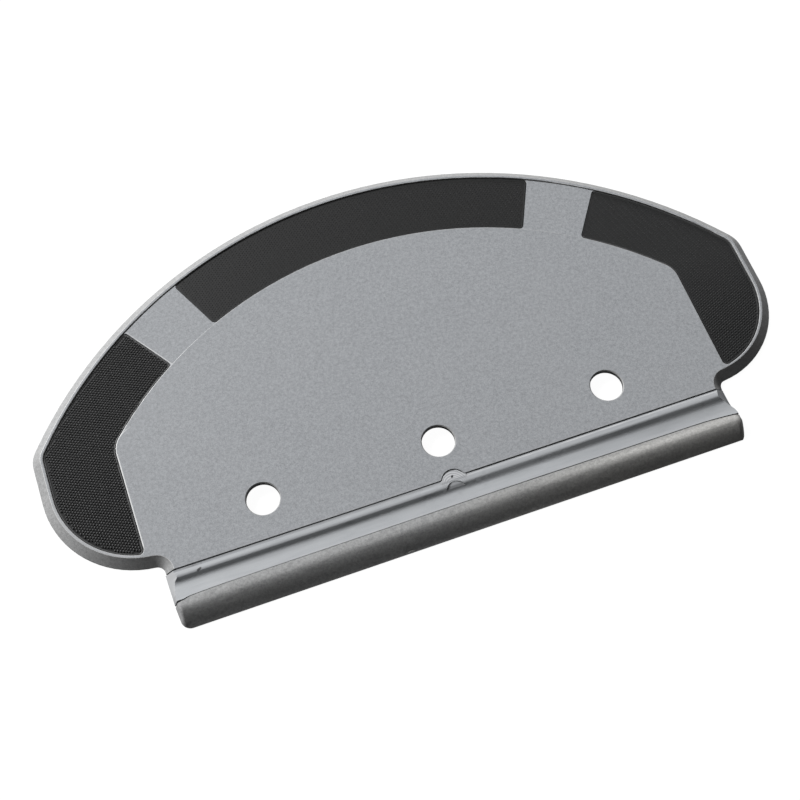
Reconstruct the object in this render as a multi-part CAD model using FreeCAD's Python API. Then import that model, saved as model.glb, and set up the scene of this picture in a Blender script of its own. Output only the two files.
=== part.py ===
import FreeCAD, Part
import math
import os
from FreeCAD import Vector as V

# Mop plate of a robot vacuum, lying with its hook-pad face up.
# Construction frame: X along the straight front edge, Y towards the arc, origin at the
# middle hole, Z = 0 at the plate's face. The finished shapes are moved at the end so that
# the origin is the middle of the underside of the whole object's box.  Millimetres.

os.makedirs("parts", exist_ok=True)

# ---- driving dimensions ------------------------------------------------------------
hole_pitch = 66.0          # between neighbouring through holes
hole_d = 12.05
hole_chamfer = 0.35

plate_t = 2.0              # wall of the plate
ring_depth = 0.25          # ring between rim and middle field, below the face
pocket_depth = 1.0         # pockets of the hook pads, below the face
skirt_down = 3.0           # height of the sloped rim wall
skirt_out = 3.3            # how far that wall leans out
foot_h = 0.6               # upright edge below the sloped wall
foot_w = 2.6               # width of the edge that it stands on
H = skirt_down + foot_h    # height of the plate's face over the surface

arc_y = -57.4              # centre of the rim's long arc
arc_r = 169.0              # outer edge of the rim's narrow top land
land_w = 0.96              # width of that land
land_w_right_lobe = 0.6    # narrower at the foot of the right lobe
rim_round = 0.35           # rounding of its outer edge
edge_round = 0.2           # rounding of ring and field edges
corner_r = 7.0             # rounding between the arc and the straight sides
right_flat_x = 137.15      # straight sides of the rim
left_flat_x = 136.7
right_lobe = (106.05, 22.7, 31.1)    # lower lobes: x, y, radius, x counted outwards;
left_lobe = (104.4, 24.8, 32.3)      # the two differ a little on the real plate
neck_off = 0.35            # the neck and rail sit this far to +X
neck_x = 102.75            # half width of the neck at the face
notch_r = 6.3              # inner rounding between lobe and neck

field_r = 147.0            # raised middle field: its arc
field_y = -59.9
field_x = 110.4            # and its straight sides
field_corner_r = 9.0

pad_gap = 0.15             # pad to the wall of its pocket
pad_t = 0.9                # thickness of the hook pads
pad_corner_r = 1.6
pad_side_deg = 55.5        # radial ends of the side pads
pad_mid_deg = 64.4         # radial ends of the middle pad
line_w = 0.42              # narrow groove along the rim where there is no pad
line_d = 0.75

seam_y = -14.7             # seam between plate and soft strip
seam_w = (0.62, 0.42, 0.28)  # open groove of that seam: far left, at its bend, far right
seam_d = 1.0
seam_side_d = (0.6, 0.12)  # its depth down the sloped ends, left and right
seam_side_w = 0.5
bend_x = -40.0             # left of here seam, ridge and hollow run back a little
bend = 0.36 / 62.0
part_y = -25.5             # seam between soft strip and nose
part_w = 0.28              # in the middle; narrower to the left, wider to the right
part_w_grow = 0.10         # per 100 mm
part_bend = 1.1            # that seam bends forward at both ends, more sharply at the left
part_bend_x = 88.0
part_bend_left = [(-125.0, 1.45), (-115.0, 1.4), (-110.0, 1.37), (-106.0, 1.3), (-104.2, 1.2), (-102.6, 0.85), (-101.2, 0.5), (-98.0, 0.27), (-93.0, 0.08)]
part_tilt = 0.25           # and runs this far forward towards its right end
part_end_w = 0.46          # it opens to this width at the left end
front_y = -35.5            # foremost edge of the nose
core_top = -2.5            # rigid tongue under the soft strip
core_x = 102.6
rib_w = 2.4                # rib under the plate along the seam
strip_proud = (0.3, 0.0)   # the strip's left and right ends stand out from the neck wall
# how far the strip's ends have passed from the slope of the neck wall to the nose's end section
end_left = [(-17.5, 0.0), (-19.6, 0.156), (-21.65, 0.5), (-23.7, 0.844), (-25.8, 1.0)]
end_right = [(-15.2, 0.0), (-17.5, 0.0), (-19.0, 0.03), (-20.0, 0.10), (-21.0, 0.24), (-22.0, 0.44), (-23.0, 0.66), (-24.0, 0.84), (-25.0, 0.94), (-26.5, 1.0)]

nose_left_x = 105.95
nose_left_top = 104.5
nose_left_in = 0.8         # the ends also run in this far towards the front
nose_right_x = 107.5
strip_right_x = 106.9      # the strip's end stops short of the nose's at the right
nose_right_in = 1.2
nose_left_fillet = 1.1
nose_right_fillet = 2.5
nose_left_corner = 3.6     # plan rounding of its front corners
nose_right_corner = 1.6

arch_c = (-0.05, -16.45)   # rounded tab of the strip in the middle
arch_r = 4.72
arch_side_r = 0.8
arch_floor = -1.7
tab_line_w = 0.40          # open groove round the tab
tab_back, tab_front = -0.46, 0.06    # height of the tab at y -11.0 and at y -17.2

HB = -H                    # underside level in the construction frame


def P(x, y, z=0.0):
    return V(x, y, z)


def line(a, b):
    return Part.LineSegment(a, b).toShape()


def arc_pts(a, m, b):
    return Part.Arc(a, m, b).toShape()


def arc_c(c, r, a0, a1, z):
    """arc about c from angle a0 to a1 in degrees"""
    am = 0.5 * (a0 + a1)
    q = [P(c[0] + r * math.cos(math.radians(a)), c[1] + r * math.sin(math.radians(a)), z) for a in (a0, am, a1)]
    return Part.Arc(q[0], q[1], q[2]).toShape()


def ang(c, p):
    return math.degrees(math.atan2(p[1] - c[1], p[0] - c[0]))


def side_dims(sg):
    """straight side, lobe centre, lobe radius and corner centre of the right (1) or left (-1) side"""
    fx, lb = (right_flat_x, right_lobe) if sg > 0 else (left_flat_x, left_lobe)
    cc = (fx - corner_r, arc_y + math.sqrt((arc_r - corner_r) ** 2 - (fx - corner_r) ** 2))
    return fx, (lb[0], lb[1]), lb[2], cc


def seam_back(x):
    """how far back the seam and the strip lie at x"""
    return max(0.0, (bend_x - x) * bend)


def outline(d, z, y_end):
    """closed outline at level z, set out by d from the top edge of the rim wall.
    It runs from the right end of the seam round the arc to the left end."""
    edges = []
    sides = []
    a_cor = {}
    for sg in (1, -1):
        flat_x, lobe_c, lobe_r, cc = side_dims(sg)
        a_corner = ang((0, arc_y), cc)
        a_cor[sg] = a_corner
        nx = neck_x + sg * neck_off            # neck side, measured along this side
        cn = (nx + notch_r, lobe_c[1] - math.sqrt((lobe_r + notch_r) ** 2 - (nx + notch_r - lobe_c[0]) ** 2))
        a_t = ang(lobe_c, cn)                  # tangent direction lobe -> notch
        a_n = ang(cn, lobe_c)
        pts = {
            "neck_end": (nx + d, y_end + seam_back(sg * (nx + d))),
            "neck_top": (nx + d, cn[1]),
            "notch": (cn, notch_r - d, 180.0, a_n),
            "lobe": (lobe_c, lobe_r + d, a_t, 0.0),
            "flat0": (flat_x + d, lobe_c[1]),
            "flat1": (flat_x + d, cc[1]),
            "corner": (cc, corner_r + d, 0.0, a_corner),
        }
        sides.append(pts)
    out = []

    def mk(pts, sg):
        def m(x, y):
            return P(sg * x, y, z)

        def arcm(c, r, a0, a1):
            q = []
            for a in (a0, 0.5 * (a0 + a1), a1):
                q.append(m(c[0] + r * math.cos(math.radians(a)), c[1] + r * math.sin(math.radians(a))))
            return Part.Arc(q[0], q[1], q[2]).toShape()
        e = []
        e.append(line(m(*pts["neck_end"]), m(*pts["neck_top"])))
        c, r, a0, a1 = pts["notch"]
        e.append(arcm(c, r, a0, a1))
        c, r, a0, a1 = pts["lobe"]
        e.append(arcm(c, r, a0, a1))
        e.append(line(m(*pts["flat0"]), m(*pts["flat1"])))
        c, r, a0, a1 = pts["corner"]
        e.append(arcm(c, r, a0, a1))
        return e
    right = mk(sides[0], 1)
    left = mk(sides[1], -1)
    big = arc_c((0, arc_y), arc_r + d, a_cor[1], 180.0 - a_cor[-1], z)
    xl = -sides[1]["neck_end"][0]
    front = [line(P(xl, y_end + seam_back(xl), z), P(bend_x, y_end, z)), line(P(bend_x, y_end, z), P(sides[0]["neck_end"][0], y_end, z))]
    edges = right + [big] + left[::-1] + front
    return Part.Wire(Part.__sortEdges__(edges))


def prism(wire, z0, z1):
    w = wire.copy()
    w.translate(V(0, 0, z0 - w.BoundBox.ZMin))
    return Part.Face(w).extrude(V(0, 0, z1 - z0))


def box(x0, x1, y0, y1, z0, z1):
    return Part.makeBox(x1 - x0, y1 - y0, z1 - z0, V(x0, y0, z0))


def poly_wire(pts):
    return Part.Wire([line(pts[i], pts[(i + 1) % len(pts)]) for i in range(len(pts))])


def one(shape):
    """the shape as a single clean solid"""
    s = shape.removeSplitter()
    sol = s.Solids
    sol = sorted(sol, key=lambda q: -q.Volume)
    return sol[0]


# ---- ring recess for the hook pads --------------------------------------------------
def ring_wire(gap_out, gap_in, corner, end_lo, z):
    """C-shaped ring between rim and middle field, as one closed wire.
    gap_out and gap_in narrow it, corner rounds its two lower ends."""
    ro = arc_r - land_w - gap_out
    co_r = corner_r - land_w - gap_out
    ri = field_r + gap_in
    xi = field_x + gap_in
    fr = field_corner_r + gap_in
    # rounding of the field's corner: tangent to its arc and straight side, inside both
    fcx = xi - fr
    fc = (fcx, field_y + math.sqrt((ri - fr) ** 2 - fcx ** 2))
    a_f = ang((0, field_y), fc)

    def side(sg):
        flat_x, lobe_c, lobe_r, cc = side_dims(sg)
        a_corner = ang((0, arc_y), cc)
        fx = flat_x - land_w - gap_out
        lw = land_w_right_lobe if sg > 0 else land_w
        lobe_c = (lobe_c[0] - land_w + lw, lobe_c[1])
        lr = lobe_r - lw - gap_out
        # lower end: straight side meets the lobe arc, rounded with radius "corner"
        ccx = xi + corner
        ce = (ccx, lobe_c[1] - math.sqrt((lr - corner) ** 2 - (ccx - lobe_c[0]) ** 2))
        a_e = ang(lobe_c, ce)

        def m(x, y):
            return P(sg * x, y, z)

        def arcm(c, r, a0, a1):
            q = []
            for a in (a0, 0.5 * (a0 + a1), a1):
                q.append(m(c[0] + r * math.cos(math.radians(a)), c[1] + r * math.sin(math.radians(a))))
            return Part.Arc(q[0], q[1], q[2]).toShape()
        return [
            arcm(cc, co_r, a_corner, 0.0),
            line(m(fx, cc[1]), m(fx, lobe_c[1])),
            arcm(lobe_c, lr, 0.0, a_e),
            arcm(ce, corner, a_e, -180.0),
            line(m(xi, ce[1]), m(xi, fc[1])),
            arcm(fc, fr, 0.0, a_f),
        ]
    e = side(1) + side(-1)
    e.append(arc_c((0, arc_y), ro, ang((0, arc_y), side_dims(1)[3]), 180.0 - ang((0, arc_y), side_dims(-1)[3]), z))
    e.append(arc_c((0, field_y), ri, a_f, 180.0 - a_f, z))
    return Part.Wire(Part.__sortEdges__(e))


def wedge(a0, a1):
    r = 400.0
    c = (0.0, arc_y)
    pts = [P(c[0], c[1], -10)]
    n = 8
    for i in range(n + 1):
        a = math.radians(a0 + (a1 - a0) * i / n)
        pts.append(P(c[0] + r * math.cos(a), c[1] + r * math.sin(a), -10))
    return Part.Face(poly_wire(pts)).extrude(V(0, 0, 20))


def pad_shapes(gap, z0, z1):
    """left, middle and right pad between levels z0 and z1, smaller than their pockets by gap"""
    r = pad_corner_r + pad_gap - gap
    ring = prism(ring_wire(gap, gap, r, 0.0, 0.0), z0, z1)
    da = math.degrees(gap / 160.0)
    out = []
    for lo, hi in ((180.0 - pad_side_deg + da, 210.0), (pad_mid_deg + da, 180.0 - pad_mid_deg - da), (-30.0, pad_side_deg - da)):
        s = ring.common(wedge(lo, hi))
        ed = []
        for e in s.Edges:
            bb = e.BoundBox
            if bb.ZLength > 0.9 * (z1 - z0) and bb.XLength < 1e-3 and bb.YLength < 1e-3:
                a = math.degrees(math.atan2(bb.Center.y - arc_y, bb.Center.x))
                if min(abs(a - lo), abs(a - hi)) < 0.2:
                    ed.append(e)
        out.append(s.makeFillet(r, ed))
    return out


# ---- base plate ---------------------------------------------------------------------
w_top = outline(0.0, 0.0, seam_y)
w_bot = outline(skirt_out, -skirt_down, seam_y)
slope = Part.makeLoft([w_bot, w_top], True, True)
foot = prism(outline(skirt_out, -skirt_down, seam_y), HB, -skirt_down)
plate = slope.fuse(foot)


# round the top edge of the rim, then sink ring and pockets and round the edges of ring and field
def level_edges(shape, z, tol=1e-4):
    """edges that lie at level z, without the seam line"""
    out = []
    for e in shape.Edges:
        bb = e.BoundBox
        if abs(bb.ZMin - z) < tol and abs(bb.ZMax - z) < tol:
            if bb.YMax < seam_y + 0.4 and e.Length > 50:
                continue
            out.append(e)
    return out


def mark(e):
    c = e.CenterOfMass
    return (round(c.x, 2), round(c.y, 2), round(e.Length, 2))


plate = one(plate)
plate = one(plate.makeFillet(rim_round, level_edges(plate, 0.0)))
before = set(mark(e) for e in level_edges(plate, 0.0))
ring = prism(ring_wire(0.0, 0.0, pad_corner_r + pad_gap, 0.0, 0.0), -ring_depth, 1.0)
plate = one(plate.cut(ring))
plate = plate.makeFillet(edge_round, [e for e in level_edges(plate, 0.0) if mark(e) not in before])
before = set(mark(e) for e in level_edges(plate, -ring_depth))
for s in pad_shapes(0.0, -pocket_depth, 1.0):
    plate = plate.cut(s)
rim_line = ring.copy()
rim_line.translate(V(0, 0, ring_depth - line_d))
rim_line = rim_line.cut(prism(ring_wire(line_w, -8.0, 1.0, 0.0, 0.0), -5.0, 5.0))
for lo, hi in ((pad_side_deg - 0.6, pad_mid_deg + 0.6), (180.0 - pad_mid_deg - 0.6, 180.0 - pad_side_deg + 0.6)):
    plate = plate.cut(rim_line.common(wedge(lo, hi)))
plate = one(plate)

# hollow underside, with the rib along the seam left standing
hollow = prism(outline(skirt_out - foot_w, 0.0, seam_y + rib_w), HB - 1.0, -plate_t)
plate = plate.cut(hollow)

# through holes
for i in (-1, 0, 1):
    c = V(i * hole_pitch, 0, HB - 1)
    plate = plate.cut(Part.makeCylinder(hole_d / 2, H + 3, c))
    plate = plate.cut(Part.makeCone(hole_d / 2, hole_d / 2 + hole_chamfer, hole_chamfer, V(i * hole_pitch, 0, -hole_chamfer)))

# ---- rail sections (Y, Z): ledge, ridge, hollow, long rise, seam, nose -----------------
# the strip's section left of the tab, right of it and near its right end, the nose's over most of
# its length and near its right end
strip_left = [(-14.6, -0.17), (-15.3, -0.17), (-15.9, -0.20), (-16.25, -0.14), (-16.65, 0.10), (-17.1, 0.30),
              (-17.6, 0.40), (-18.05, 0.41), (-18.4, 0.28), (-18.75, 0.01), (-19.1, -0.33), (-19.45, -0.54),
              (-19.85, -0.65), (-20.3, -0.67), (-20.8, -0.61), (-21.4, -0.45), (-22.15, -0.19), (-22.95, 0.04),
              (-23.6, 0.23), (-24.2, 0.47), (-24.8, 0.72), (-25.3, 0.93), (-25.8, 1.14), (-26.5, 1.40)]
strip_mid = [(-14.6, -0.42), (-15.05, -0.42), (-15.4, -0.30), (-15.8, -0.12), (-16.35, 0.01), (-16.85, 0.15),
             (-17.25, 0.26), (-17.6, 0.31), (-17.95, 0.30), (-18.3, 0.20), (-18.65, -0.01), (-19.0, -0.26),
             (-19.35, -0.46), (-19.75, -0.62), (-20.2, -0.71), (-20.7, -0.67), (-21.3, -0.47), (-22.1, -0.19),
             (-22.9, 0.05), (-23.6, 0.30), (-24.3, 0.62), (-25.0, 0.88), (-25.6, 1.10), (-26.5, 1.44)]
strip_right = [(-14.6, -0.45), (-15.05, -0.45), (-15.35, -0.32), (-15.75, -0.04), (-16.3, 0.14), (-16.85, 0.25),
               (-17.25, 0.40), (-17.6, 0.48), (-17.95, 0.46), (-18.3, 0.34), (-18.65, 0.11), (-19.0, -0.18),
               (-19.35, -0.45), (-19.75, -0.66), (-20.2, -0.79), (-20.7, -0.84), (-21.3, -0.79), (-22.1, -0.68),
               (-22.9, -0.57), (-23.6, -0.46), (-24.3, -0.29), (-25.0, -0.08), (-25.6, 0.16), (-26.5, 0.56)]
nose_main = [(-24.8, 1.08), (-25.5, 1.11), (-26.2, 1.13), (-26.9, 1.17), (-27.6, 1.22), (-28.2, 1.21), (-28.8, 1.12),
             (-29.4, 0.93), (-30.1, 0.61), (-30.8, 0.22), (-31.5, -0.22), (-32.3, -0.77), (-33.1, -1.37),
             (-33.9, -2.06), (-34.7, -2.79), (front_y, -3.31)]
nose_right = [(-24.8, 0.14), (-25.5, 0.22), (-26.2, 0.28), (-26.55, 0.32), (-26.9, 0.42), (-27.25, 0.58), (-27.6, 0.76), (-28.2, 0.98), (-28.8, 1.07),
              (-29.4, 1.03), (-30.1, 0.83), (-30.8, 0.50), (-31.5, 0.09), (-32.3, -0.44), (-33.1, -1.05),
              (-33.9, -1.74), (-34.7, -2.60), (front_y, -3.31)]


def section_wire(pts, zlow, x, dy):
    c = Part.BSplineCurve()
    c.interpolate([V(x, y + dy, z) for y, z in pts])
    y0, z0 = pts[0][0] + dy, pts[0][1]
    y1, z1 = pts[-1][0] + dy, pts[-1][1]
    return Part.Wire([c.toShape(), line(V(x, y1, z1), V(x, y1, zlow)), line(V(x, y1, zlow), V(x, y0, zlow)), line(V(x, y0, zlow), V(x, y0, z0))])


def steps(x0, s0, x1, s1, n):
    """n runs that pass evenly from one section to the other"""
    def mid(t):
        return [(a[0] + (b[0] - a[0]) * t, a[1] + (b[1] - a[1]) * t) for a, b in zip(s0, s1)]
    sec = [s0] + [mid(float(i) / n) for i in range(1, n)] + [s1]
    return [(x0 + (x1 - x0) * i / n, sec[i], x0 + (x1 - x0) * (i + 1) / n, sec[i + 1]) for i in range(n)]


def rail_solid(runs, zlow, bent):
    """runs of (x0, section, x1, section); a run with two sections passes smoothly from one to the other"""
    out = None
    for x0, s0, x1, s1 in runs:
        d0, d1 = (seam_back(x0), seam_back(x1)) if bent else (0.0, 0.0)
        if s0 is s1:
            s = Part.Face(section_wire(s0, zlow, x0, d0)).extrude(V(x1 - x0, d1 - d0, 0))
        else:
            s = Part.makeLoft([section_wire(s0, zlow, x0, d0), section_wire(s1, zlow, x1, d1)], True, True)
        out = s if out is None else out.fuse(s)
    return out


def behind_seam(dy, z0, z1):
    """prism of everything behind the seam line, that line moved by dy; dy is one value or
    three, for the far left, the bend and the far right"""
    x = 140.0
    d = dy if isinstance(dy, tuple) else (dy, dy, dy)
    pts = [P(-x, seam_y + d[0] + seam_back(-x), z0), P(bend_x, seam_y + d[1], z0), P(x, seam_y + d[2], z0), P(x, 20.0, z0), P(-x, 20.0, z0)]
    return Part.Face(poly_wire(pts)).extrude(V(0, 0, z1 - z0))


def seam_curve(dy, z, grow=0.0):
    """plan line of the seam between strip and nose, bent forward at both ends"""
    far = 125.0
    c = neck_off
    pts = [V(c + sx, part_y + dy + grow * sx / 100.0 - d, z) for sx, d in part_bend_left]
    for sx in (-part_bend_x, -60.0, 0.0, 60.0, part_bend_x, 93.0, 98.0, 102.0, 106.0, 110.0, 115.0, far):
        t = max(0.0, (sx - part_bend_x) / (106.0 - part_bend_x))
        pts.append(V(c + sx, part_y + dy + grow * sx / 100.0 - part_bend * t * t - part_tilt * max(0.0, sx) / 106.0, z))
    s = Part.BSplineCurve()
    s.interpolate(pts)
    return s.toShape(), pts[0], pts[-1]


def seam_region(dy, back, grow=0.0):
    """prism in front of (back False) or behind (back True) the strip-nose seam"""
    s, a, b = seam_curve(dy, -8.0, grow)
    yy = 20.0 if back else -50.0
    e = [s, line(b, V(b.x, yy, -8.0)), line(V(b.x, yy, -8.0), V(a.x, yy, -8.0)), line(V(a.x, yy, -8.0), a)]
    return Part.Face(Part.Wire(Part.__sortEdges__(e))).extrude(V(0, 0, 16.0))


# nose: left end slopes inwards, right end is upright, both with a rounded front corner in plan
nose = rail_solid([(-120.0, nose_main, 22.0, nose_main), (22.0, nose_main, 80.0, nose_right), (80.0, nose_right, 120.0, nose_right)], HB, False)
lean = (nose_left_x - nose_left_top) / (1.25 - HB)


def end_prism(sg, x_end, slope, run_in, r):
    """prism that bounds the nose at one end, drawn at the underside and leaning inwards by slope;
    it runs in by run_in towards the front, where its corner is rounded by r in plan"""
    z = HB
    al = math.atan(run_in / (part_y - front_y))
    xb = x_end - run_in
    xa = xb - math.tan(al) * front_y
    if r == 0.0:
        w = poly_wire([P(0, 0, z), P(sg * xa, 0, z), P(sg * (xb - math.tan(al)), front_y - 1, z), P(0, front_y - 1, z)])
        return Part.Face(w).extrude(V(-sg * slope * 8.0, 0, 8.0))
    cx, cy = xb - r * (1 - math.sin(al)) / math.cos(al), front_y + r
    am = 0.5 * (-al - math.pi / 2)
    t1 = (cx + r * math.cos(al), cy - r * math.sin(al))
    e = [
        line(P(0, 0, z), P(sg * xa, 0, z)),
        line(P(sg * xa, 0, z), P(sg * t1[0], t1[1], z)),
        Part.Arc(P(sg * t1[0], t1[1], z), P(sg * (cx + r * math.cos(am)), cy + r * math.sin(am), z), P(sg * cx, front_y, z)).toShape(),
        line(P(sg * cx, front_y, z), P(0, front_y, z)),
        line(P(0, front_y, z), P(0, 0, z)),
    ]
    return Part.Face(Part.Wire(Part.__sortEdges__(e))).extrude(V(-sg * slope * 8.0, 0, 8.0))


halves = []
for sg, x_end, slope, run_in, fil, nose_corner in ((-1, nose_left_x, lean, nose_left_in, nose_left_fillet, nose_left_corner), (1, nose_right_x, 0.0, nose_right_in, nose_right_fillet, nose_right_corner)):
    half = nose.common(box(-120, 0, -60, 0, HB, 6) if sg < 0 else box(0, 120, -60, 0, HB, 6))
    half = half.common(end_prism(sg, x_end, slope, run_in, 0.0))
    ed = []
    for e in half.Edges:
        bb = e.BoundBox
        if sg * bb.Center.x > 95 and bb.ZLength > 1.5 and bb.YLength > 3.0:
            ed.append(e)
    half = half.makeFillet(fil, ed)
    halves.append(half.common(end_prism(sg, x_end, slope, run_in, nose_corner)))
nose = halves[0].fuse(halves[1])
nose = nose.common(seam_region(0.0, False))
# moulded channel under the nose
nose = nose.cut(box(-99.0, 99.0, -32.2, -28.2, HB - 1.0, -1.6))

core = box(neck_off - core_x, neck_off + core_x, -28.0, seam_y + 0.5, HB, core_top)
base = plate.fuse(core).fuse(nose)

# ---- soft strip ---------------------------------------------------------------------
strip = rail_solid([(-115.0, strip_left, bend_x, strip_left), (bend_x, strip_left, -12.0, strip_left), (-12.0, strip_left, 12.0, strip_mid),
                    (12.0, strip_mid, 30.0, strip_mid)] + steps(30.0, strip_mid, 78.0, strip_right, 4)
                   + [(78.0, strip_right, 96.0, strip_right), (96.0, strip_right, 115.0, strip_right)], HB, True)
kx = skirt_out / skirt_down
z_steps = [HB - 1.0, -3.0, -1.0, 0.0, 0.6, 1.1, 3.0]
# end section at the nose: distance in from its foot, level by level
nose_in = {1: [0.0, 0.0, 0.05, 0.25, 0.6, 1.1, 3.4], -1: [0.0, 0.15, 0.7, 1.0, 1.2, 1.5, 3.4]}
for sg, sp, passing, sd in ((1, strip_proud[1], end_right, seam_side_d[1]), (-1, strip_proud[0], end_left, seam_side_d[0])):
    nx = neck_x + sg * neck_off + sp
    x_foot = strip_right_x if sg > 0 else nose_left_x
    flare = [nx + skirt_out if z <= -3.0 else nx - kx * z for z in z_steps]
    full = [x_foot - d for d in nose_in[sg]]

    def section(xs, y):
        pts = [V(sg * x, y, z) for x, z in zip(xs, z_steps)] + [V(sg * 130, y, z_steps[-1]), V(sg * 130, y, z_steps[0])]
        return poly_wire(pts)
    blend = [section([a + (b - a) * u for a, b in zip(flare, full)], y) for y, u in [(0.0, 0.0)] + passing + [(-60.0, 1.0)]]
    strip = strip.cut(Part.makeLoft(blend, True, True))
    # the open seam runs on down the sloped end
    deep = [a - sd for a in flare]
    side = Part.makeLoft([section(deep, 0.0), section(deep, -18.0)], True, True)
    strip = strip.cut(behind_seam(-seam_side_w, HB - 1.0, 4.0).common(side))
strip = strip.cut(seam_region(part_end_w, False).common(box(-120, -103.2, -50, 0, -8, 8)))
strip = strip.common(seam_region(part_w, True, part_w_grow))
strip = strip.cut(behind_seam(0.0, -20.0, 20.0))

# rounded tab in the middle, let into the plate
ca = arch_c
dyf = seam_y + arch_side_r - ca[1]
dxf = math.sqrt((arch_r + arch_side_r) ** 2 - dyf ** 2)


def arch_prism(grow, z0, z1):
    """tab outline: round head, hollow flanks running into the seam line"""
    r = arch_r + grow
    rs = arch_side_r - grow
    e = []
    cl = (ca[0] - dxf, seam_y + arch_side_r)
    cr = (ca[0] + dxf, seam_y + arch_side_r)
    tl = (ca[0] - dxf * r / (arch_r + arch_side_r), ca[1] + dyf * r / (arch_r + arch_side_r))
    tr = (ca[0] + dxf * r / (arch_r + arch_side_r), tl[1])
    al0 = 270.0
    al1 = 360.0 + ang(cl, ca)

    def q(c, rr, a):
        return P(c[0] + rr * math.cos(math.radians(a)), c[1] + rr * math.sin(math.radians(a)), z0)
    base_y = seam_y + grow
    e.append(Part.Arc(q(cl, rs, al0), q(cl, rs, 0.5 * (al0 + al1)), P(tl[0], tl[1], z0)).toShape())
    e.append(Part.Arc(P(tl[0], tl[1], z0), P(ca[0], ca[1] + r, z0), P(tr[0], tr[1], z0)).toShape())
    ar0 = ang(cr, ca)
    ar1 = -90.0
    if ar0 > 0:
        ar0 -= 360.0
    e.append(Part.Arc(P(tr[0], tr[1], z0), q(cr, rs, 0.5 * (ar0 + ar1)), q(cr, rs, ar1)).toShape())
    foot_y = -16.9
    e.append(line(P(cr[0], base_y, z0), P(cr[0], foot_y, z0)))
    e.append(line(P(cr[0], foot_y, z0), P(cl[0], foot_y, z0)))
    e.append(line(P(cl[0], foot_y, z0), P(cl[0], base_y, z0)))
    return Part.Face(Part.Wire(Part.__sortEdges__(e))).extrude(V(0, 0, z1 - z0))


base = base.cut(arch_prism(0.0, arch_floor, 2.0).common(box(-20, 20, seam_y, 0, -5, 5)))
# short dent in the nose's lower edge
base = base.cut(Part.makeCylinder(5.0, 10.0, V(-23.3, -34.55 - 5.0, -3.0)))
base = one(base)

tab = arch_prism(0.0, arch_floor, 2.0)
tab = tab.cut(Part.Face(poly_wire([V(-8, -11.0, tab_back), V(-8, -17.2, tab_front), V(-8, -17.2, 3.0), V(-8, -11.0, 3.0)])).extrude(V(16, 0, 0)))
strip = strip.fuse(tab)
# open groove of the seam, along the plate and round the tab
groove = behind_seam(tuple(-w for w in seam_w), -seam_d, 3.0).cut(arch_prism(-tab_line_w, -seam_d - 1.0, 4.0))
strip = strip.cut(groove)
# small round shelf below the tab and the gate mark in it
shelf = Part.Face(poly_wire([V(-8, -16.2, -0.10), V(-8, -18.9, -0.17), V(-8, -18.9, 3.0), V(-8, -16.2, 3.0)])).extrude(V(16, 0, 0))
strip = strip.cut(Part.makeCylinder(3.6, 6.0, V(-0.45, -20.05, -3.0)).common(shelf))
for gx, gy in ((-0.38, -14.78), (-0.08, -14.42)):
    strip = strip.cut(Part.makeCone(0.2, 0.4, 0.9, V(gx, gy, -1.05)))
strip = strip.cut(base)
strip = one(strip)

# ---- hook pads ----------------------------------------------------------------------
left, mid, right = pad_shapes(pad_gap, -pocket_depth, -pocket_depth + pad_t)

parts = {
    "base_plate": base,
    "front_strip": strip,
    "hook_pad_left": one(left),
    "hook_pad_centre": one(mid),
    "hook_pad_right": one(right),
}

# ---- move to the final origin: middle of the box, underside at Z = 0 ----------------
bb = base.BoundBox
for n in parts:
    bb.add(parts[n].BoundBox)
y_lo = front_y
y_hi = arc_y + arc_r + skirt_out
shift = V(-0.5 * (right_flat_x - left_flat_x), -0.5 * (y_lo + y_hi), H)
print("shift", shift.x, shift.y, shift.z)
for n, s in parts.items():
    s = s.copy()
    s.translate(shift)
    b = s.BoundBox
    print("%-16s valid %s closed %s solids %d faces %d volume %.1f  x %.2f %.2f  y %.2f %.2f  z %.3f %.3f" % (
        n, s.isValid(), s.isClosed(), len(s.Solids), len(s.Faces), s.Volume, b.XMin, b.XMax, b.YMin, b.YMax, b.ZMin, b.ZMax))
    s.exportStep("parts/%s.step" % n)
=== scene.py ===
import math

import bpy
import numpy as np
from mathutils import Matrix, Vector


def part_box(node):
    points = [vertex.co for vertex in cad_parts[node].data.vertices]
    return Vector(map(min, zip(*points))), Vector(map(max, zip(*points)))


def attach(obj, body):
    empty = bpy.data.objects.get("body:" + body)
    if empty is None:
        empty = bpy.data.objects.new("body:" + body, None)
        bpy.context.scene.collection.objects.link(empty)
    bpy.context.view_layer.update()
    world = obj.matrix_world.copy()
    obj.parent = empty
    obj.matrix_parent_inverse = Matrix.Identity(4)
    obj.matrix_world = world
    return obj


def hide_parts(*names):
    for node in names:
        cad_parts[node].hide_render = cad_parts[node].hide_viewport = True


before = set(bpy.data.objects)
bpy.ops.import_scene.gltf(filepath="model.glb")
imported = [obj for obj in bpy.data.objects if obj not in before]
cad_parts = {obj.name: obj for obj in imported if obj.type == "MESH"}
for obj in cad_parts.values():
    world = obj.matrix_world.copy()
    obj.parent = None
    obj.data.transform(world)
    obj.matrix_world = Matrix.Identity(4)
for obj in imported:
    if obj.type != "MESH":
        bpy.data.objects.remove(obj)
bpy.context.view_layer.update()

# The construction frame of the plate (mm): X along the nose, Y to the curved rim, origin at the middle hole,
# Z = 0 at the plate's face. SHIFT takes it to the row frame.
SHIFT = np.array([-0.225, -39.7, 3.6])
ARC_C = np.array([0.0, -57.4])


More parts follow.
